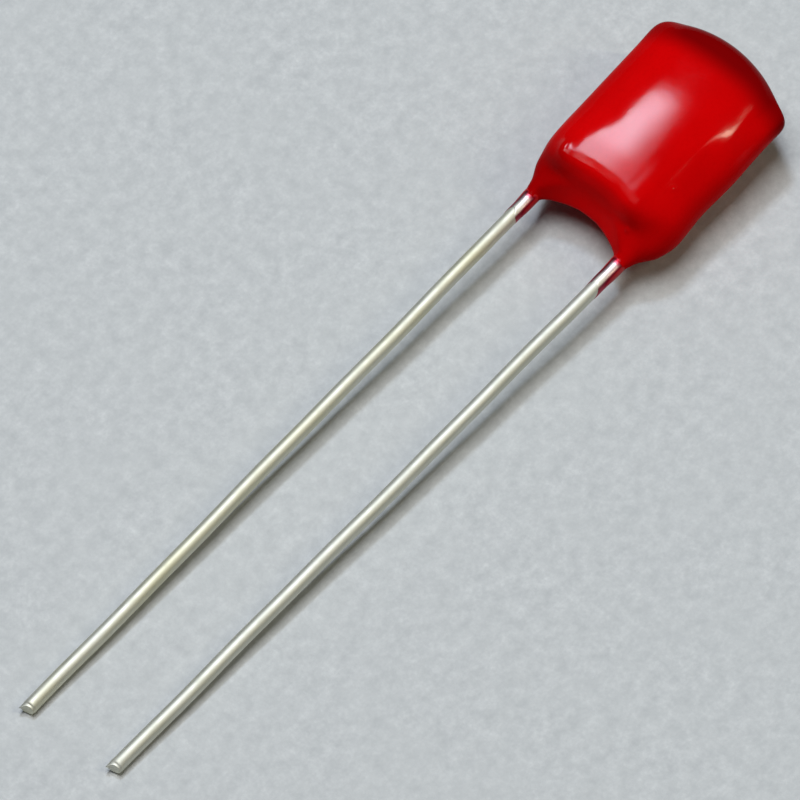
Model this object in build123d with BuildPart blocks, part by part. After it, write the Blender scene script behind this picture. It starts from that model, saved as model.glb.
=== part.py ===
from build123d import *
import os
from math import asin, atan2, cos, degrees, hypot, radians, sin, tan

# Dipped film/foil capacitor with two radial leads, lying as it comes to rest. Millimetres.
# Each piece is first drawn in the body's own frame: X runs from the leads into the body, Y to the
# left, Z through the thickness, and the origin is midway between the leads where they leave the
# resin. At the end every piece is laid down by one common location.

# ---- leads -----------------------------------------------------------------------------------
wire_diameter = 0.48
lead_pitch = 3.7              # between the lead axes where they leave the resin
lead_length_left = 24.3       # from the neck to the tip, along the wire
lead_length_right = 23.9
lead_bend = 3.5               # degrees that the free leads are bent up from the body's mid-plane
lead_toe_in = 0.33            # degrees that each lead leans towards the other
bend_distance = 0.3           # from the neck to the middle of the bend
bend_radius = 3.0
tip_shear_length = 0.32       # length of the chisel left by the side cutters
tip_edge = 0.08               # thickness left at the chisel's edge

# ---- winding ---------------------------------------------------------------------------------
winding_length = 5.1          # width of the film, along the body
foil_margin = 0.7             # bare film at each end of the roll
core_radius = 0.42            # half thickness of the film core inside the leads
tab_thickness = 0.2           # flattened end of each lead, lying on the core
tab_height = 0.7
tab_length = 3.4
stub_length = 0.5             # round wire that reaches into the end margin of the roll
foil_thickness = 0.03
film_thickness = 0.045        # between one foil and the next
foil_turns = 3
wrap_thickness = 0.05         # plain film wound over the last foil

# ---- resin -----------------------------------------------------------------------------------
face_coat = 0.48              # over the flat faces
side_coat_near = 0.21         # over the rounded sides, at the lead end
side_coat_far = 0.28          # and where the resin gathered, at the domed end
end_coat = 1.62               # from the neck to the roll
dome_coat = 0.95              # over the far end of the roll
dome_sagitta = 0.9            # height of the dome across the body's width
dome_edge_radius = 0.85
crease_radius = 0.45          # where the flat faces turn down to the lead end
shoulder_distance = 0.85      # from the neck to the shoulder
shoulder_overhang = 0.72      # resin outside each lead's axis at the shoulder
shoulder_thickness = 1.5
throat_distance = 0.35        # from the neck to the throat, where the shoulders have drawn in
throat_overhang = 0.4
throat_thickness = 0.95
neck_radius = 0.3             # resin round each lead at the neck
arch_rise = 0.5               # how far the resin draws back between the leads
arch_flare = 33.0             # degrees that the arch opens towards the flat faces
collar_radius = 0.5           # resin that climbs from each lead onto the body
collar_depth = 0.55           # how far inside the neck it is that thick
collar_reach = 0.3            # how far outside the neck it starts
collar_bow = 1.5              # radius of its hollow profile
run_thickness = 0.04          # thin resin that ran down the leads, at the neck
run_edge_thickness = 0.02     # and where it ends
run_length_left = 1.15
run_length_right = 1.3
run_slant = 30.0              # degrees that the run's end leans across the wire

# ---- sizes that follow -----------------------------------------------------------------------
wire_radius = wire_diameter / 2
foil_start_radius = core_radius + tab_thickness
turn_pitch = 2 * (foil_thickness + film_thickness)
last_foil_radius = foil_start_radius + (2 * foil_turns - 1) * turn_pitch / 2 + foil_thickness
winding_radius = last_foil_radius + turn_pitch / 4 + wrap_thickness
core_half_width = lead_pitch / 2 - core_radius - tab_thickness / 2
winding_width = 2 * (core_half_width + winding_radius)
winding_thickness = 2 * winding_radius

body_thickness = winding_thickness + 2 * face_coat
body_width_near = winding_width + 2 * side_coat_near
body_width_far = winding_width + 2 * side_coat_far
winding_end = end_coat + winding_length
body_length = winding_end + dome_coat
foil_length = winding_length - 2 * foil_margin

LEFT, RIGHT = 1, -1


def lead_direction(side):
    """The way that the free part of a lead points, from the body to its tip."""
    toe = -side * sin(radians(lead_toe_in))
    rise = sin(radians(lead_bend))
    return Vector(-cos(radians(lead_bend)), toe, rise).normalized()


def bend_point(side):
    """Where the inner and outer straight parts of a lead would cross."""
    return Vector(-bend_distance, side * lead_pitch / 2, 0)


def lead_point(side, distance):
    """A point of the free straight part, by its distance from the neck along the wire."""
    return bend_point(side) + lead_direction(side) * (distance - bend_distance)


def lead_path(side, inner_x, distance):
    """The wire's centre line from inside the body, round its bend, to a distance past the neck."""
    inner = Vector(inner_x, side * lead_pitch / 2, 0)
    return FilletPolyline(inner, bend_point(side), lead_point(side, distance), radius=bend_radius)


def core_centre(side):
    """Centre of the turns at one side of the flat roll: the sides step by half a turn."""
    return (side * core_half_width, side * turn_pitch / 4)


# ---- leads: round wire, a flattened tab inside, a sheared tip ----------------------------------
def make_lead(side, length):
    with BuildPart() as lead:
        with BuildLine():
            path = lead_path(side, end_coat + stub_length, length)
        with BuildSketch(Plane(origin=path @ 0, z_dir=path % 0)):
            Circle(wire_radius)
        sweep(path=path)
        # flattened tab, curved to the core that it lies on
        with BuildSketch(Plane.YZ.offset(end_coat + stub_length / 2)):
            with Locations(core_centre(side)):
                Circle(foil_start_radius)
                Circle(core_radius, mode=Mode.SUBTRACT)
            with Locations((side * (core_half_width + foil_start_radius), core_centre(side)[1])):
                Rectangle(2 * foil_start_radius, tab_height, mode=Mode.INTERSECT)
        extrude(amount=tab_length + stub_length / 2)
        # the side cutters leave a chisel: two slopes that meet at a thin edge
        tip = Plane(origin=path @ 1, x_dir=lead_direction(side), z_dir=(0, 1, 0))
        with BuildSketch(tip):
            for turn in (1, -1):
                with BuildLine():
                    Polyline(
                        (0, turn * tip_edge / 2),
                        (-tip_shear_length, turn * wire_radius),
                        (-tip_shear_length, turn * wire_diameter),
                        (wire_radius, turn * wire_diameter),
                        (wire_radius, turn * tip_edge / 2),
                        close=True,
                    )
                make_face()
        extrude(amount=wire_diameter, both=True, mode=Mode.SUBTRACT)
    return lead


lead_left = make_lead(LEFT, lead_length_left)
lead_right = make_lead(RIGHT, lead_length_right)


# ---- electrode foils: flat spirals of half rings joined by straight runs ------------------------
def spiral_edges(side, first_radius):
    """One edge of a foil: it starts under its own lead's tab and winds outwards."""
    for half_turn in range(2 * foil_turns):
        at = side if half_turn % 2 == 0 else -side
        radius = first_radius + half_turn * turn_pitch / 2
        CenterArc(core_centre(at), radius, -90 * at, 180)
        if half_turn < 2 * foil_turns - 1:
            x, y = core_centre(at)
            Line((x, y + at * radius), (-x, y + at * radius))


def spiral_ends(side, first_radius):
    """Start and end points of such an edge."""
    last_radius = first_radius + (2 * foil_turns - 1) * turn_pitch / 2
    x, y = core_centre(side)
    return (x, y - side * first_radius), (-x, -y - side * last_radius)


def make_foil(side):
    inner_start, inner_end = spiral_ends(side, foil_start_radius)
    outer_start, outer_end = spiral_ends(side, foil_start_radius + foil_thickness)
    with BuildPart() as foil:
        with BuildSketch(Plane.YZ.offset(end_coat + foil_margin)):
            with BuildLine():
                spiral_edges(side, foil_start_radius)
                spiral_edges(side, foil_start_radius + foil_thickness)
                Line(inner_start, outer_start)
                Line(inner_end, outer_end)
            make_face()
        extrude(amount=foil_length)
    return foil


electrode_foil_left = make_foil(LEFT)
electrode_foil_right = make_foil(RIGHT)

# ---- the roll of polypropylene film, pressed flat round the foils and tabs ----------------------
with BuildPart() as film_winding:
    with BuildSketch(Plane.YZ.offset(end_coat)):
        SlotOverall(winding_width, winding_thickness)
    extrude(amount=winding_length)
    for wound_in in (electrode_foil_left, electrode_foil_right, lead_left, lead_right):
        add(wound_in.part, mode=Mode.SUBTRACT)


# ---- the resin envelope -----------------------------------------------------------------------
def resin_section(x, width, thickness):
    """Cross-section of the resin: flat faces and fully rounded sides."""
    with BuildSketch(Plane.YZ.offset(x)) as section:
        SlotOverall(width, thickness)
    return section.sketch


crease_section = resin_section(end_coat, body_width_near, body_thickness)
dome_section = resin_section(body_length, body_width_far, body_thickness)
shoulder_section = resin_section(
    shoulder_distance, lead_pitch + 2 * shoulder_overhang, shoulder_thickness
)
throat_section = resin_section(
    throat_distance, lead_pitch + 2 * throat_overhang, throat_thickness
)
neck_section = resin_section(0, lead_pitch + 2 * neck_radius, 2 * neck_radius)

with BuildPart() as epoxy_coating:
    # barrel, a little wider towards the dome
    loft([crease_section, dome_section], ruled=True)
    # dome across the width, rounded into the faces and sides
    dome_radius = (dome_sagitta**2 + (body_width_far / 2) ** 2) / (2 * dome_sagitta)
    with BuildSketch(Plane.XY):
        with Locations((body_length - dome_radius, 0)):
            Circle(dome_radius)
    extrude(amount=body_thickness, both=True, mode=Mode.INTERSECT)
    fillet(epoxy_coating.faces().sort_by(Axis.X)[-1].edges(), radius=dome_edge_radius)
    # lead end: from the crease down to the shoulders, then in to the necks
    loft([crease_section, shoulder_section, throat_section, neck_section], ruled=True)
    fillet(
        epoxy_coating.edges().filter_by_position(Axis.X, end_coat - 0.001, end_coat + 0.001),
        radius=crease_radius,
    )
    underside = epoxy_coating.faces().sort_by(Axis.Z)[0].bounding_box()
    # the resin draws back between the leads in an arch
    half_gap = lead_pitch / 2 - neck_radius
    arch_radius = (arch_rise**2 + half_gap**2) / (2 * arch_rise)
    with BuildSketch(Plane.XY):
        with Locations((arch_rise - arch_radius, 0)):
            Circle(arch_radius)
        with Locations((arch_rise - arch_radius, 0)):
            Rectangle(2 * arch_radius, 2 * half_gap, mode=Mode.INTERSECT)
    extrude(amount=body_thickness / 2, both=True, taper=-arch_flare, mode=Mode.SUBTRACT)
    # resin climbs from each lead onto the body, and ran down it as a thin film
    for side, run_length in ((LEFT, run_length_left), (RIGHT, run_length_right)):
        axis_y = side * lead_pitch / 2
        run_radius = wire_radius + run_thickness
        for centre, along, radius in (
            (Vector(shoulder_distance, axis_y, 0), Vector(-1, 0, 0), run_radius),
            (bend_point(side), Vector(-1, 0, 0) + lead_direction(side), run_radius),
            (lead_point(side, run_length), lead_direction(side), wire_radius + run_edge_thickness),
        ):
            with BuildSketch(Plane(origin=centre, x_dir=(0, 1, 0), z_dir=along)):
                Circle(radius)
        loft(ruled=True)
        # its end is uneven: it hangs lower on one side of the wire
        with BuildSketch(Plane(lead_point(side, run_length), x_dir=lead_direction(side), z_dir=(0, 0, 1))):
            with Locations((-run_radius * tan(radians(run_slant)), 0)):
                Rectangle(
                    wire_diameter,
                    2 * wire_diameter,
                    rotation=-run_slant,
                    align=(Align.MIN, Align.CENTER),
                )
        extrude(amount=wire_diameter, both=True, mode=Mode.SUBTRACT)
        with BuildSketch(Plane.XY):
            with BuildLine():
                lip = (-collar_reach, axis_y + wire_radius)
                foot = (collar_depth, axis_y + collar_radius)
                RadiusArc(lip, foot, -collar_bow)
                Polyline(foot, (collar_depth, axis_y), (-collar_reach, axis_y), lip)
            make_face()
        revolve(axis=Axis((0, axis_y, 0), (1, 0, 0)))
    # what the resin was dipped over
    with BuildSketch(Plane.YZ.offset(end_coat)):
        SlotOverall(winding_width, winding_thickness)
    extrude(amount=winding_length, mode=Mode.SUBTRACT)
    for dipped in (lead_left, lead_right):
        add(dipped.part, mode=Mode.SUBTRACT)

# ---- lay it down: the tips and the near edge of the underside meet the surface -------------------
crease_x = underside.min.X
crease_z = -body_thickness / 2 + crease_radius
tip_point = lead_point(LEFT, lead_length_left - tip_shear_length)
run, rise = crease_x - tip_point.X, crease_z - tip_point.Z
pitch = asin((crease_radius - wire_radius) / hypot(run, rise)) - atan2(rise, run)
pitched = Location((0, 0, 0), (0, -degrees(pitch), 0))

pieces = {
    "epoxy_coating": epoxy_coating,
    "film_winding": film_winding,
    "electrode_foil_left": electrode_foil_left,
    "electrode_foil_right": electrode_foil_right,
    "lead_left": lead_left,
    "lead_right": lead_right,
}
extent = Compound([piece.part for piece in pieces.values()]).moved(pitched).bounding_box()
laid_down = Location((-extent.center().X, -extent.center().Y, -extent.min.Z)) * pitched

os.makedirs("parts", exist_ok=True)
for name, piece in pieces.items():
    piece.part.label = name
    piece.part.location = laid_down
    export_step(piece.part, f"parts/{name}.step")
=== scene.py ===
import bpy
import math
import bmesh
import numpy as np
from mathutils import Matrix, Vector


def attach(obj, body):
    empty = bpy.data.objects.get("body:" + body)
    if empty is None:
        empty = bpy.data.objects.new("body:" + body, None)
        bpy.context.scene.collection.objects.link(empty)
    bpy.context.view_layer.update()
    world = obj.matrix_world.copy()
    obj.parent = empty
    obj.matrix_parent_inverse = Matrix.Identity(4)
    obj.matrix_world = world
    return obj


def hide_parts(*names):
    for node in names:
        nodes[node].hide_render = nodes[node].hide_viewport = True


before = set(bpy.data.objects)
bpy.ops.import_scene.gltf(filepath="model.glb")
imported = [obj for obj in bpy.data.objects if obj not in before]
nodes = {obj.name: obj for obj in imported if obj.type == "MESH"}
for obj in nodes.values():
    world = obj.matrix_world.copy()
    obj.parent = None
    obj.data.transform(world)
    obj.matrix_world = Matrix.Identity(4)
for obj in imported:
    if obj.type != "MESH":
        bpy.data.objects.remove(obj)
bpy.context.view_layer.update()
MM = 0.001
PER_METRE = 1000  # millimetres in a metre


def mm(x, y, z):
    return Vector((x, y, z)) * MM


# ---- the body's own frame, in mm: X from the leads into the resin, Y to the left lead, Z up through it
LEFT, RIGHT = 1, -1
PITCH = math.radians(6.203)
LEAD_BEND = math.radians(3.5)
TOE_IN = math.radians(0.33)
LEAD_PITCH = 3.7
BEND_DISTANCE = 0.3
WIRE_RADIUS = 0.24
HALF_WIDTH = 2.7
# the origin, midway between the leads where they enter the resin, in the row frame
NECK = np.array((8.282, 0.0, 1.389))
AXES = np.array((
    (math.cos(PITCH), 0, math.sin(PITCH)),
    (0, 1, 0),
    (-math.sin(PITCH), 0, math.cos(PITCH)),
))


def to_body(points):
    return (points - NECK) @ AXES.T


def to_row(points):
    return points @ AXES + NECK


def smoothstep(x, a, b):
    """0 up to a, 1 from b on, and a smooth rise between them."""
    t = np.clip((x - a) / (b - a), 0, 1)
    return t * t * (3 - 2 * t)


def bell(*terms):
    """1 at the centre, falling off smoothly around it. Each term is (values, centre, width)."""
    return np.exp(-sum(((values - centre) / width) ** 2 for values, centre, width in terms))


def mesh_object(name, verts_mm, faces):
    me = bpy.data.meshes.new(name)
    me.from_pydata([tuple(v * MM) for v in verts_mm], [], faces)
    me.polygons.foreach_set("use_smooth", [True] * len(me.polygons))
    me.update()
    obj = bpy.data.objects.new(name, me)
    bpy.context.scene.collection.objects.link(obj)
    return obj


def set_attribute(obj, name, values):
    """A number for each point of the mesh, from 0 to 1, that a material can read."""
    layer = obj.data.attributes.new(name, "FLOAT", "POINT")
    layer.data.foreach_set("value", np.clip(values, 0, 1))


# ---- the resin's skin
SKIN_SOLIDS = ("epoxy_coating", "film_winding", "lead_left", "lead_right")
WELD_DISTANCE = 1e-5
VOXEL = 0.055
SKIN_START = -0.16  # the skin ends here, round the wires
HELD_START = -0.1  # points before this stay where they are
RELAX_STEPS = 60
RELAX_SHARE = 0.5
# small drops on the upper side, as (x, y, size, height)
DROPS = (
    (1.26, 1.60, 0.12, 0.05),
    (1.52, 1.72, 0.12, 0.05),
    (2.55, -1.95, 0.05, 0.03),
    (0.72, -1.56, 0.05, 0.06),
)
FACE_START = 1.9  # x where the upper face begins, at the crease
FACE_LENGTH = 5.0
# where the outline moves to the right, as (side, move, x of the middle, width, |y| where it starts, is full)
OUTLINE = (
    (LEFT, 0.08, 0.9, 0.8, 1.6, 2.4),
    (RIGHT, 0.17, 1.6, 1.1, 1.6, 2.5),
    (RIGHT, 0.08, 4.3, 1.2, 1.9, 2.6),
)
SWELL_HEIGHT = 0.045
RIDGE_HEIGHT = 0.035
WEB_THINNING = 0.75
UNDERSIDE_CROWN = 0.035
DOME_REACH = 0.12
CORNER_REACH, CORNER_WIDENING = 0.09, 0.11
LIP_REACH, LIP_WIDENING = 0.10, 0.17
WAVE_HEIGHT = 0.002
# the specular level: the plain coat, and what the brightest face adds and the dull sides take off
PLAIN_GLOSS, FACE_GLOSS, DULL_LOSS = 0.08, 0.47, 0.063
GLINT_SHARE, DROP_SHARE = 2.0, 1.8  # of what the face adds


def solids_as_voxels():
    """(points, edges, faces) of one even mesh round the solids that fill the coat, in the body's frame."""
    bm = bmesh.new()
    for name in SKIN_SOLIDS:
        bm.from_mesh(nodes[name].data)
    bmesh.ops.scale(bm, vec=(PER_METRE, PER_METRE, PER_METRE), verts=bm.verts)
    bmesh.ops.remove_doubles(bm, verts=bm.verts, dist=WELD_DISTANCE)
    me = bpy.data.meshes.new("solids")
    bm.to_mesh(me)
    bm.free()
    temp = bpy.data.objects.new("solids", me)
    bpy.context.scene.collection.objects.link(temp)
    mod = temp.modifiers.new("voxels", "REMESH")
    mod.mode = "VOXEL"
    mod.voxel_size = VOXEL
    done = bpy.data.meshes.new_from_object(temp.evaluated_get(bpy.context.evaluated_depsgraph_get()))
    bpy.data.objects.remove(temp)
    points = np.empty(len(done.vertices) * 3)
    done.vertices.foreach_get("co", points)
    edges = np.empty(len(done.edges) * 2, int)
    done.edges.foreach_get("vertices", edges)
    faces = [tuple(p.vertices) for p in done.polygons]
    return to_body(points.reshape(-1, 3)), edges.reshape(-1, 2), faces


def relax(points, edges):
    """Moves each point towards the mean of its neighbours, and less so near the wires."""
    count = np.bincount(edges.ravel(), minlength=len(points)).astype(float)
    count[count == 0] = 1
    free = 0.12 + 0.88 * smoothstep(points[:, 0], 0.25, 1.1)
    free[points[:, 0] < HELD_START] = 0
    one, other = edges[:, 0], edges[:, 1]
    for _ in range(RELAX_STEPS):
        total = np.stack([
            np.bincount(one, points[other, k], len(points)) + np.bincount(other, points[one, k], len(points))
            for k in range(3)
        ], 1)
        points += (total / count[:, None] - points) * (RELAX_SHARE * free[:, None])
    return points


def drop_bell(x, y, z, drop, spread):
    """1 at the middle of a drop, falling off around it, and 0 on the underside."""
    drop_x, drop_y, size, _ = drop
    away_squared = (x - drop_x) ** 2 + (y - drop_y) ** 2
    return np.where(z > 0, np.exp(-away_squared / (spread * size**2)), 0)


def shape_resin(points):
    """How the poured resin differs from the plain solid."""
    x, y, z = points[:, 0].copy(), points[:, 1].copy(), points[:, 2].copy()
    top = smoothstep(z, 0.1, 1.2)
    # the upper face falls away from the crease and grows rounder towards the dome
    u = np.clip(x - FACE_START, 0, FACE_LENGTH)
    v = np.clip(y, -2.2, 1.8)
    roll = -0.001 - 0.0036 * (u - 0.5)
    crown = 0.0275 + 0.0104 * (u - 0.5)
    z -= top * (0.004 * u**2 + 0.0008 * u**3 + roll * v + crown * v**2 / 2)
    # next to the crease it stays flat further out to both sides
    z += top * 0.115 * np.clip(v - 0.72, 0, 0.9) ** 2 * (1 - smoothstep(u, 0.3, 1.5))
    z += top * 0.12 * np.clip(-v - 0.85, 0, 0.6) ** 2 * (1 - smoothstep(u, 0.6, 2.2))
    # a low swell along the right shoulder
    z += top * SWELL_HEIGHT * bell((u, 2.6, 1.1)) * smoothstep(-y, 1.1, 1.8)
    # and a faint ridge outside it, where the coat ran together
    z += top * RIDGE_HEIGHT * bell((x, 5.2, 1.0), (y, -2.22, 0.3))
    # the crease lies nearer the leads than the solid's
    reach = 0.30 + 0.12 * smoothstep(np.abs(y), 0.3, 1.3)
    x -= reach * top * bell((x, 1.75, 0.8)) * smoothstep(y, -2.6, -1.5)
    # the web between the leads thins to its edge from below
    web = (1 - smoothstep(x, 0.5, 1.7)) * (1 - smoothstep(np.abs(y), 1.2, 1.9))
    z = np.where(z < 0, z * (1 - WEB_THINNING * web), z)
    # the underside is slightly crowned
    z = np.where(z < 0, z * (1 - UNDERSIDE_CROWN * (np.clip(np.abs(y), 0, HALF_WIDTH) / 1.3) ** 2), z)
    for side, move, middle, width, start, full in OUTLINE:
        y -= move * bell((x, middle, width)) * smoothstep(side * y, start, full)
    # the dome reaches a little further out than the plain solid
    x += DOME_REACH * smoothstep(x, 5.6, 6.9)
    # far left corner a little fuller, far right corner drawn out to a lip
    corner = bell((x, 7.0, 0.55), (y, 2.4, 0.6))
    x += CORNER_REACH * corner
    y += CORNER_WIDENING * corner
    lip = bell((x, 7.0, 0.45), (y, -2.75, 0.5), (z, 0, 0.8))
    x += LIP_REACH * lip
    y -= LIP_WIDENING * lip
    for drop in DROPS:
        z += drop[3] * drop_bell(x, y, z, drop, 2)
    # long shallow waves of a dipped coat
    wave = np.sin(1.7 * x + 0.9 * y + 0.4) * np.sin(0.8 * x - 1.9 * y + 1.1)
    z += WAVE_HEIGHT * wave * np.sign(z) * smoothstep(np.abs(z), 0.6, 1.4)
    return np.stack([x, y, z], 1)


def painted_resin_shade(x, y, z):
    """How far painted shade darkens the red: most at the lead end, the dome and the underside, and least on
    the right side, which is painted lighter. Set after the photo, and not from how thick the resin is.
    """
    lead_end = 1 - smoothstep(x, 0.8, 2.2)
    shade_amount = 0.125 + lead_end * (0.53 * smoothstep(y, 0.3, 1.8) + 0.40 * smoothstep(-y, 0.8, 1.7))
    # painted light: the right side is left lighter
    shade_amount -= 0.125 * smoothstep(-y, 0.4, 2.4)
    # painted shade on the dome, less on its left, and on the underside
    dome = smoothstep(x + 0.35 * (y / HALF_WIDTH) ** 2 + 0.05 * y, 6.2, 7.15)
    shade_amount += 0.9 * dome * (1 - 0.35 * smoothstep(y, 1.2, 2.4)) + 0.33 * smoothstep(-z, -0.5, 1.0)
    return shade_amount


def resin_gloss(x, y, z):
    """The specular level by the place on the skin.

    It is fitted so that the lights' reflections have the extent of the photo's highlight, glint
    and bright dots. The real coat is probably evenly glossy.
    """
    upper = smoothstep(z, 0.3, 1.1)
    # the highlight
    near_crease = 1 - smoothstep(x, 1.9, 2.7)
    face = smoothstep(y, -0.6, 0.4 + 0.35 * near_crease) * (1 - 0.45 * near_crease)
    face *= upper * smoothstep(x, 1.25, 1.45) * (1 - smoothstep(x, 4.4, 5.5)) * (1 - smoothstep(y, 1.6, 2.0))
    # the glint on the right shoulder
    face += GLINT_SHARE * upper * bell((x, 5.2, 0.36)) * smoothstep(-y, 1.4, 1.6)
    for drop in DROPS:
        face += DROP_SHARE * drop_bell(x, y, z, drop, 1.5)
    # the right shoulder before the glint, and both sides
    dull = smoothstep(-y, 1.2, 1.6) * (1 - smoothstep(x, 3.9, 4.6)) * smoothstep(z, 0, 0.6)
    dull = np.maximum(dull, smoothstep(np.abs(y), 1.8, 2.2) * smoothstep(z, -0.6, -0.2))
    return PLAIN_GLOSS + FACE_GLOSS * face - DULL_LOSS * dull


def resin_skin():
    """The coating's outside as a poured surface: remeshed from the solids, then relaxed and shaped."""
    points, edges, faces = solids_as_voxels()
    # the wires stick out of the solid: keep only the resin
    keep = points[:, 0] > SKIN_START
    faces = [f for f in faces if all(keep[i] for i in f)]
    edges = edges[keep[edges[:, 0]] & keep[edges[:, 1]]]
    points = shape_resin(relax(points, edges))
    used = sorted({i for f in faces for i in f})
    number = {old: new for new, old in enumerate(used)}
    faces = [tuple(number[i] for i in f) for f in faces]
    skin = mesh_object("resin_skin", to_row(points[used]), faces)
    x, y, z = points[used].T
    # painted shade on the skin: how far its red is darkened
    set_attribute(skin, "painted_shade", painted_resin_shade(x, y, z))
    set_attribute(skin, "gloss", resin_gloss(x, y, z))
    return skin


# ---- the leads and the thin resin on them
AROUND = 48  # points round a wire
INSIDE = 0.1  # how far the wires and the runs start inside the resin
RUN_RINGS = 57
RUN_TAPER, TAPER_LENGTH = 0.93, 0.07  # shares of a run: where its end starts to thin, and over what
RUN_LENGTH = {LEFT: 1.15, RIGHT: 1.5}
WIRE_LENGTH = {LEFT: 24.08, RIGHT: 23.85}
NICK = {LEFT: 0.014, RIGHT: 0.008}  # depth of the mark that the cutters left
STATION = 0.25  # between rings along the wire
PLAIN_STOP = 0.6  # those rings end at least this far from the tip
CUT_LENGTH, CUT_RINGS = 0.72, 40  # the finer rings before the tip
SQUEEZE_LENGTH = 0.34
NICK_PLACE, NICK_WIDTH = 0.10, 0.045  # from the tip
# the rings of the cut face, as (share of the rim's size, how far out), and its middle
CUT_FACE = ((0.9, 0.01), (0.6, -0.02), (0.3, -0.035))
CUT_MIDDLE = -0.04


def lead_axis(side):
    """(the point where the wire bends, its direction from there to the tip)."""
    d = np.array((-math.cos(LEAD_BEND), -side * math.sin(TOE_IN), math.sin(LEAD_BEND)))
    return np.array((-BEND_DISTANCE, side * LEAD_PITCH / 2, 0)), d / np.linalg.norm(d)


def wire_frame(side):
    """Centre line of a lead by distance from the neck, the two directions across it, and its own."""
    origin, d = lead_axis(side)
    across = np.cross(d, (0, 0, 1.0))
    across /= np.linalg.norm(across)
    over = np.cross(across, d)

    def centre(s):
        return origin + d * (s - BEND_DISTANCE) if s > BEND_DISTANCE else np.array((-s, origin[1], 0))
    return centre, across, over, d


def tube_faces(rings):
    """Quads between each ring of points and the next."""
    faces = []
    for i in range(rings - 1):
        near, far = i * AROUND, (i + 1) * AROUND
        for j in range(AROUND):
            k = (j + 1) % AROUND
            faces.append((near + j, near + k, far + k, far + j))
    return faces


def resin_run(name, side):
    """Thin resin that ran down a lead, as a sleeve with an uneven end that thins to nothing."""
    centre, across, over, _ = wire_frame(side)
    verts, film = [], []
    for i in range(RUN_RINGS):
        t = i / (RUN_RINGS - 1)
        for j in range(AROUND):
            phi = 2 * math.pi * j / AROUND
            end = RUN_LENGTH[side] * (1 - 0.16 * (0.5 + 0.5 * math.sin(phi)))
            end += 0.12 * math.sin(2 * phi + 1.6 + 0.4 * side)
            end += 0.05 * math.sin(3 * phi + 2.0)
            s = -INSIDE + (end + INSIDE) * t
            thick = 0.010 + 0.030 * (1 - float(smoothstep(s, 0.0, end * 0.9)))
            thick += 0.004 * math.sin(7.7 * s + phi)
            if t > RUN_TAPER:
                q = (t - RUN_TAPER) / TAPER_LENGTH
                thick = thick * math.sqrt(max(0.0, 1 - q * q)) - 0.004 * q
            r = WIRE_RADIUS + thick
            verts.append(centre(s) + (across * math.cos(phi) + over * math.sin(phi)) * r)
            # thin over the top of the wire, thick at its sides and underneath
            below = float(smoothstep(-math.cos(phi - 1.64), -0.92, -0.60))
            sheer = 0.16 * (1 - float(smoothstep(t, 0.5, 0.9))) + 0.84 * below
            film.append(max(1 - float(smoothstep(s, 0.0, 0.4)), sheer * (1 - 0.4 * t * t)))
    run = mesh_object(name, to_row(np.array(verts)), tube_faces(RUN_RINGS))
    set_attribute(run, "film", film)
    return run


def wire_skin(name, side):
    """A lead as drawn wire: faint kinks, and an end that side cutters squeezed and left a burr on."""
    centre, across, over, d = wire_frame(side)
    length = WIRE_LENGTH[side]
    stations = [-INSIDE + STATION * i for i in range(int((length - PLAIN_STOP) / STATION))]
    stations += list(np.linspace(length - CUT_LENGTH, length, CUT_RINGS))
    verts = []
    for s in stations:
        left = length - s
        squeeze = 1 - float(smoothstep(left, 0.0, SQUEEZE_LENGTH))
        groove = NICK[side] * math.exp(-((left - NICK_PLACE) / NICK_WIDTH) ** 2)
        sway = 0.012 * math.sin(0.55 * s + side) + 0.007 * math.sin(1.37 * s + 2.0)
        fade = float(smoothstep(s, 1.5, 4.0))
        for j in range(AROUND):
            phi = 2 * math.pi * j / AROUND
            c, o = math.cos(phi), math.sin(phi)
            burr = max(0.0, math.cos(phi - 0.5)) ** 8
            r = WIRE_RADIUS * (1 - 0.12 * squeeze**3) - groove * max(0.0, math.cos(phi - 1.1)) ** 2
            sideways = c * r * (1 + 0.10 * squeeze) + sway * fade
            outward = 0.11 * burr * squeeze**4 + 0.05 * c * squeeze**2 - 0.07 * max(0.0, o) * squeeze**2
            p = centre(s) + across * sideways + over * o * r * (1 - 0.18 * squeeze)
            verts.append(p + d * outward)
    # the cut face, a little hollow
    rim = np.array(verts[-AROUND:])
    middle = rim.mean(0)
    for share, out in CUT_FACE:
        verts.extend(middle + (rim - middle) * share + d * out)
    faces = tube_faces(len(stations) + len(CUT_FACE))
    last = len(verts) - AROUND
    faces += [(last + j, last + (j + 1) % AROUND, len(verts)) for j in range(AROUND)]
    verts.append(middle + d * CUT_MIDDLE)
    return mesh_object(name, to_row(np.array(verts)), faces)


skin = resin_skin()
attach(skin, "root")
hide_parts("epoxy_coating")
runs = [resin_run("resin_run_left", LEFT), resin_run("resin_run_right", RIGHT)]
for piece in runs:
    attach(piece, "root")
    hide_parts("epoxy_coating")
wires = [wire_skin("wire_left", LEFT), wire_skin("wire_right", RIGHT)]
for piece, lead in zip(wires, ("lead_left", "lead_right")):
    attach(piece, "root")
    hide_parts(lead)


# ---- material helpers
def new_material(name):
    mat = bpy.data.materials.new(name)
    mat.use_nodes = True
    tree = mat.node_tree
    tree.nodes.clear()
    out = tree.nodes.new("ShaderNodeOutputMaterial")
    bsdf = tree.nodes.new("ShaderNodeBsdfPrincipled")
    tree.links.new(bsdf.outputs[0], out.inputs[0])
    return mat, tree, bsdf


def coords(tree, scale=(1, 1, 1)):
    """Object coordinates in millimetres."""
    tc = tree.nodes.new("ShaderNodeTexCoord")
    mp = tree.nodes.new("ShaderNodeMapping")
    mp.inputs["Scale"].default_value = [PER_METRE * s for s in scale]
    tree.links.new(tc.outputs["Object"], mp.inputs[0])
    return mp.outputs[0]


def noise(tree, vector, scale, detail=2.0, roughness=0.5):
    n = tree.nodes.new("ShaderNodeTexNoise")
    n.inputs["Scale"].default_value = scale
    n.inputs["Detail"].default_value = detail
    n.inputs["Roughness"].default_value = roughness
    tree.links.new(vector, n.inputs["Vector"])
    return n.outputs["Fac"]


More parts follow.
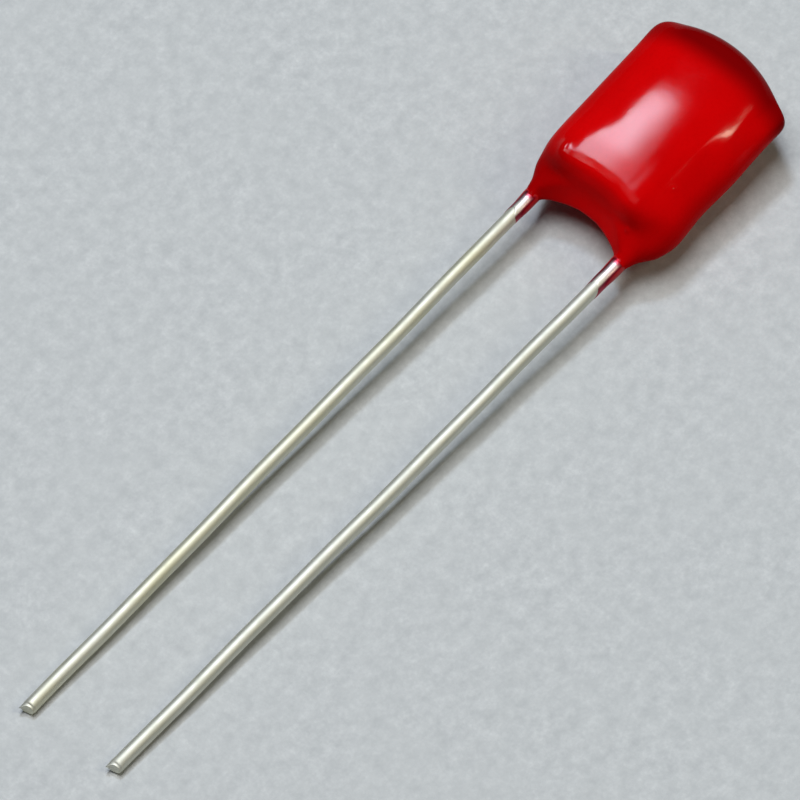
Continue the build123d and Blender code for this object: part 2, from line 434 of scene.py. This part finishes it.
def attribute(tree, name):
    """What set_attribute stored on the mesh under that name."""
    n = tree.nodes.new("ShaderNodeAttribute")
    n.attribute_name = name
    return n.outputs["Fac"]


def ramp(tree, value, stops):
    """Stops of (position, colour or grey)."""
    r = tree.nodes.new("ShaderNodeValToRGB")
    tree.links.new(value, r.inputs[0])
    els = r.color_ramp.elements
    while len(els) < len(stops):
        els.new(0.5)
    for el, (pos, col) in zip(els, stops):
        el.position = pos
        el.color = (*col, 1) if isinstance(col, tuple) else (col, col, col, 1)
    return r.outputs[0]


def mix(tree, fac, a, b, kind="MIX"):
    """A mix of a and b. Each of the three can be a socket or a plain value."""
    m = tree.nodes.new("ShaderNodeMix")
    m.data_type = "RGBA"
    m.blend_type = kind
    for sock, val in ((m.inputs[0], fac), (m.inputs[6], a), (m.inputs[7], b)):
        if isinstance(val, bpy.types.NodeSocket):
            tree.links.new(val, sock)
        elif isinstance(val, tuple):
            sock.default_value = (*val, 1)
        else:
            sock.default_value = val
    return m.outputs[2]


def bump(tree, bsdf, layers):
    """Layers of (height, distance in mm, strength), each on the one before."""
    last = None
    for height, distance, strength in layers:
        b = tree.nodes.new("ShaderNodeBump")
        b.inputs["Distance"].default_value = distance * MM
        b.inputs["Strength"].default_value = strength
        tree.links.new(height, b.inputs["Height"])
        if last:
            tree.links.new(last, b.inputs["Normal"])
        last = b.outputs[0]
    tree.links.new(last, bsdf.inputs["Normal"])


# ---- materials
RED, BRIGHT_RED = (0.56, 0.0006, 0.0012), (0.66, 0.0008, 0.0016)
# the darker of these two reds is painted shade
SPECK_RED, PAINTED_SHADE_RED = (0.46, 0.0004, 0.0008), (0.19, 0.0005, 0.001)
RESIN_IOR = 1.2  # below real epoxy's, to go with the small strong lights
FILM_IOR = 1.4
# from bare metal to full resin, by how much resin lies on the wire
FILM_COLOURS = [
    (0.05, (0.66, 0.63, 0.56)),
    (0.16, (0.60, 0.50, 0.50)),
    (0.38, (0.50, 0.12, 0.16)),
    (0.7, (0.30, 0.004, 0.022)),
    (0.95, (0.42, 0.0006, 0.0012)),
]
TIN = (0.68, 0.68, 0.61)
TIN_TINTS = ((0.66, 0.65, 0.50), (0.64, 0.64, 0.55))  # its warmer patches, left and right
CLEAR_DIM, CLEAR = (0.78, 0.80, 0.78), (0.86, 0.87, 0.85)
ALUMINIUM_DIM, ALUMINIUM = (0.74, 0.75, 0.76), (0.84, 0.85, 0.86)
PAPER_DARK, PAPER_LIGHT = (0.44, 0.46, 0.465), (0.63, 0.65, 0.65)
PAPER_FIBRE, PAPER_CLOUD = (0.45, 0.465, 0.475), (0.51, 0.53, 0.53)
DUST = (0.06, 0.06, 0.09)


def epoxy_material():
    mat, t, b = new_material("red_epoxy")
    v = coords(t)
    colour = ramp(t, noise(t, v, 0.35, 2), [(0.35, RED), (0.65, BRIGHT_RED)])
    fine = noise(t, v, 9.0, 3)
    colour = mix(t, ramp(t, fine, [(0.45, 0.0), (0.75, 0.25)]), colour, SPECK_RED)
    # painted shade: the red darkens towards the lead end, the dome and the underside, and less on the right
    # side
    colour = mix(t, attribute(t, "painted_shade"), colour, PAINTED_SHADE_RED)
    t.links.new(colour, b.inputs["Base Color"])
    t.links.new(ramp(t, noise(t, v, 1.6, 4), [(0.3, 0.08), (0.75, 0.13)]), b.inputs["Roughness"])
    b.inputs["IOR"].default_value = RESIN_IOR
    t.links.new(attribute(t, "gloss"), b.inputs["Specular IOR Level"])
    bump(t, b, [
        (noise(t, v, 1.3, 1), 0.002, 0.5),
        (noise(t, v, 4.6, 2), 0.003, 0.5),
    ])
    return mat


def film_over_wire():
    """Red resin so thin that the bright wire shows through it."""
    mat, t, b = new_material("resin_film")
    patch = mix(t, 0.08, attribute(t, "film"), noise(t, coords(t), 5.0, 3))
    t.links.new(ramp(t, patch, FILM_COLOURS), b.inputs["Base Color"])
    t.links.new(ramp(t, patch, [(0.7, 1.0), (0.92, 0.0)]), b.inputs["Metallic"])
    t.links.new(ramp(t, patch, [(0.04, 0.56), (0.16, 0.42)]), b.inputs["Roughness"])
    b.inputs["IOR"].default_value = FILM_IOR
    bump(t, b, [(noise(t, coords(t), 3.0, 2), 0.003, 0.5)])
    return mat


def wire_material(name, tint):
    mat, t, b = new_material(name)
    v = coords(t)
    along = coords(t, (0.12, 6.0, 6.0))
    patches = noise(t, coords(t, (0.5, 1.5, 1.5)), 1.0, 3)
    t.links.new(ramp(t, patches, [(0.3, tint), (0.7, TIN)]), b.inputs["Base Color"])
    b.inputs["Metallic"].default_value = 1.0
    t.links.new(ramp(t, noise(t, v, 2.4, 4), [(0.3, 0.56), (0.75, 0.66)]), b.inputs["Roughness"])
    bump(t, b, [
        (noise(t, along, 1.0, 3), 0.004, 0.5),
        (noise(t, v, 5.0, 3), 0.002, 0.5),
    ])
    return mat


def film_material():
    mat, t, b = new_material("wound_film")
    colour = ramp(t, noise(t, coords(t), 2.0, 3), [(0.3, CLEAR_DIM), (0.7, CLEAR)])
    t.links.new(colour, b.inputs["Base Color"])
    b.inputs["Roughness"].default_value = 0.35
    bump(t, b, [(noise(t, coords(t, (0.3, 3, 3)), 2.0, 2), 0.003, 0.5)])
    return mat


def foil_material():
    mat, t, b = new_material("foil")
    v = coords(t)
    colour = ramp(t, noise(t, v, 3.0, 3), [(0.3, ALUMINIUM_DIM), (0.7, ALUMINIUM)])
    t.links.new(colour, b.inputs["Base Color"])
    b.inputs["Metallic"].default_value = 1.0
    b.inputs["Roughness"].default_value = 0.3
    bump(t, b, [(noise(t, v, 6.0, 2), 0.002, 0.5)])
    return mat


def floor_material():
    mat, t, b = new_material("paper")
    v = coords(t)
    wide = noise(t, v, 0.3, 3, 0.6)
    blotch = noise(t, v, 2.0, 4, 0.65)
    fibre = noise(t, v, 7.0, 3, 0.6)
    base = ramp(t, blotch, [(0.25, PAPER_DARK), (0.75, PAPER_LIGHT)])
    base = mix(t, ramp(t, fibre, [(0.35, 0.0), (0.75, 0.55)]), base, PAPER_FIBRE)
    base = mix(t, ramp(t, wide, [(0.35, 0.0), (0.7, 0.4)]), base, PAPER_CLOUD)
    # a dust speck in some of the cells
    cells = t.nodes.new("ShaderNodeTexVoronoi")
    cells.inputs["Scale"].default_value = 0.16
    t.links.new(v, cells.inputs["Vector"])
    specks = ramp(t, cells.outputs["Distance"], [(0.006, 0.8), (0.012, 0.0)])
    chosen = ramp(t, cells.outputs["Color"], [(0.62, 0.0), (0.64, 1.0)])
    base = mix(t, mix(t, 1.0, specks, chosen, "MULTIPLY"), base, DUST)
    t.links.new(base, b.inputs["Base Color"])
    b.inputs["Roughness"].default_value = 0.9
    b.inputs["Specular IOR Level"].default_value = 0.2
    bump(t, b, [(blotch, 0.04, 0.4), (fibre, 0.02, 0.4)])
    return mat


def paint(obj, mat):
    obj.data.materials.clear()
    obj.data.materials.append(mat)


epoxy = epoxy_material()
for piece in (nodes["epoxy_coating"], skin):
    paint(piece, epoxy)
film = film_over_wire()
for piece in runs:
    paint(piece, film)
for piece, lead, tint in zip(wires, ("lead_left", "lead_right"), TIN_TINTS):
    metal = wire_material("tinned_" + piece.name, tint)
    paint(piece, metal)
    paint(nodes[lead], metal)
paint(nodes["film_winding"], film_material())
foil = foil_material()
paint(nodes["electrode_foil_left"], foil)
paint(nodes["electrode_foil_right"], foil)

# ---- floor, in metres
FLOOR_SIZE = 1.2
FLOOR_HEIGHT = -0.00001
bpy.ops.mesh.primitive_plane_add(size=FLOOR_SIZE, location=(0, 0, FLOOR_HEIGHT))
floor = bpy.context.object
floor.name = "floor"
paint(floor, floor_material())

# ---- camera, in degrees and mm
VIEW_AZIMUTH = 48.35
VIEW_ELEVATION = 60.0
DISTANCE = 631.0
VIEW_WIDTH = 25.324
# how far the neck lies right of the picture's middle, and above it
NECK_RIGHT, NECK_UP = 5.590, 5.445
SENSOR_WIDTH = 36
# the picture's right, away from the camera along the floor, the picture's up, and back to the camera
a, e = math.radians(VIEW_AZIMUTH), math.radians(VIEW_ELEVATION)
right = Vector((math.cos(a), -math.sin(a), 0))
away = Vector((math.sin(a), math.cos(a), 0))
up = away * math.sin(e) + Vector((0, 0, 1)) * math.cos(e)
back = -away * math.cos(e) + Vector((0, 0, 1)) * math.sin(e)
aim = mm(*NECK) - right * (NECK_RIGHT * MM) - up * (NECK_UP * MM)
cam_data = bpy.data.cameras.new("camera")
cam = bpy.data.objects.new("camera", cam_data)
bpy.context.scene.collection.objects.link(cam)
cam_data.sensor_width = SENSOR_WIDTH
cam_data.lens = cam_data.sensor_width * DISTANCE / VIEW_WIDTH
cam_data.clip_start, cam_data.clip_end = 0.01, 10
cam.location = aim + back * (DISTANCE * MM)
cam.rotation_mode = "QUATERNION"
cam.rotation_quaternion = back.to_track_quat("Z", "Y")
bpy.context.scene.camera = cam

# ---- light, in metres
LIGHT_DISTANCE = 0.5
WORLD_COLOUR = (0.95, 0.98, 1.0, 1)
WORLD_STRENGTH = 0.028


def area_light(name, direction, size_x, size_y, radiance, colour=(1, 1, 1), along=(0, 1, 0)):
    """An area light with this radiance, where 1 would show as white. Its y side lies along `along`."""
    data = bpy.data.lights.new(name, "AREA")
    data.shape = "RECTANGLE"
    data.size, data.size_y = size_x, size_y
    data.energy = radiance * math.pi * size_x * size_y
    data.color = colour
    obj = bpy.data.objects.new(name, data)
    bpy.context.scene.collection.objects.link(obj)
    z_axis = Vector(direction).normalized()
    x_axis = Vector(along).cross(z_axis).normalized()
    obj.location = z_axis * LIGHT_DISTANCE
    obj.rotation_mode = "QUATERNION"
    obj.rotation_quaternion = Matrix((x_axis, z_axis.cross(x_axis), z_axis)).transposed().to_quaternion()
    obj.visible_camera = False


# key lights everything, window makes the highlight on the face, lamp the glint on the right shoulder
area_light("key", (-0.10, 0.10, 1.0), 0.235, 0.245, 9.3)
area_light("window", (0.242, 0.362, 1.0), 0.082, 0.062, 48.0, (0.88, 1.0, 1.18))
area_light("lamp", (0.51, -0.80, 1.0), 0.014, 0.20, 44.0, (1.0, 0.92, 0.68), (0, 0, 1))

world = bpy.data.worlds.new("studio")
bpy.context.scene.world = world
world.use_nodes = True
world.node_tree.nodes["Background"].inputs["Color"].default_value = WORLD_COLOUR
world.node_tree.nodes["Background"].inputs["Strength"].default_value = WORLD_STRENGTH

bpy.context.scene.view_settings.view_transform = "Standard"
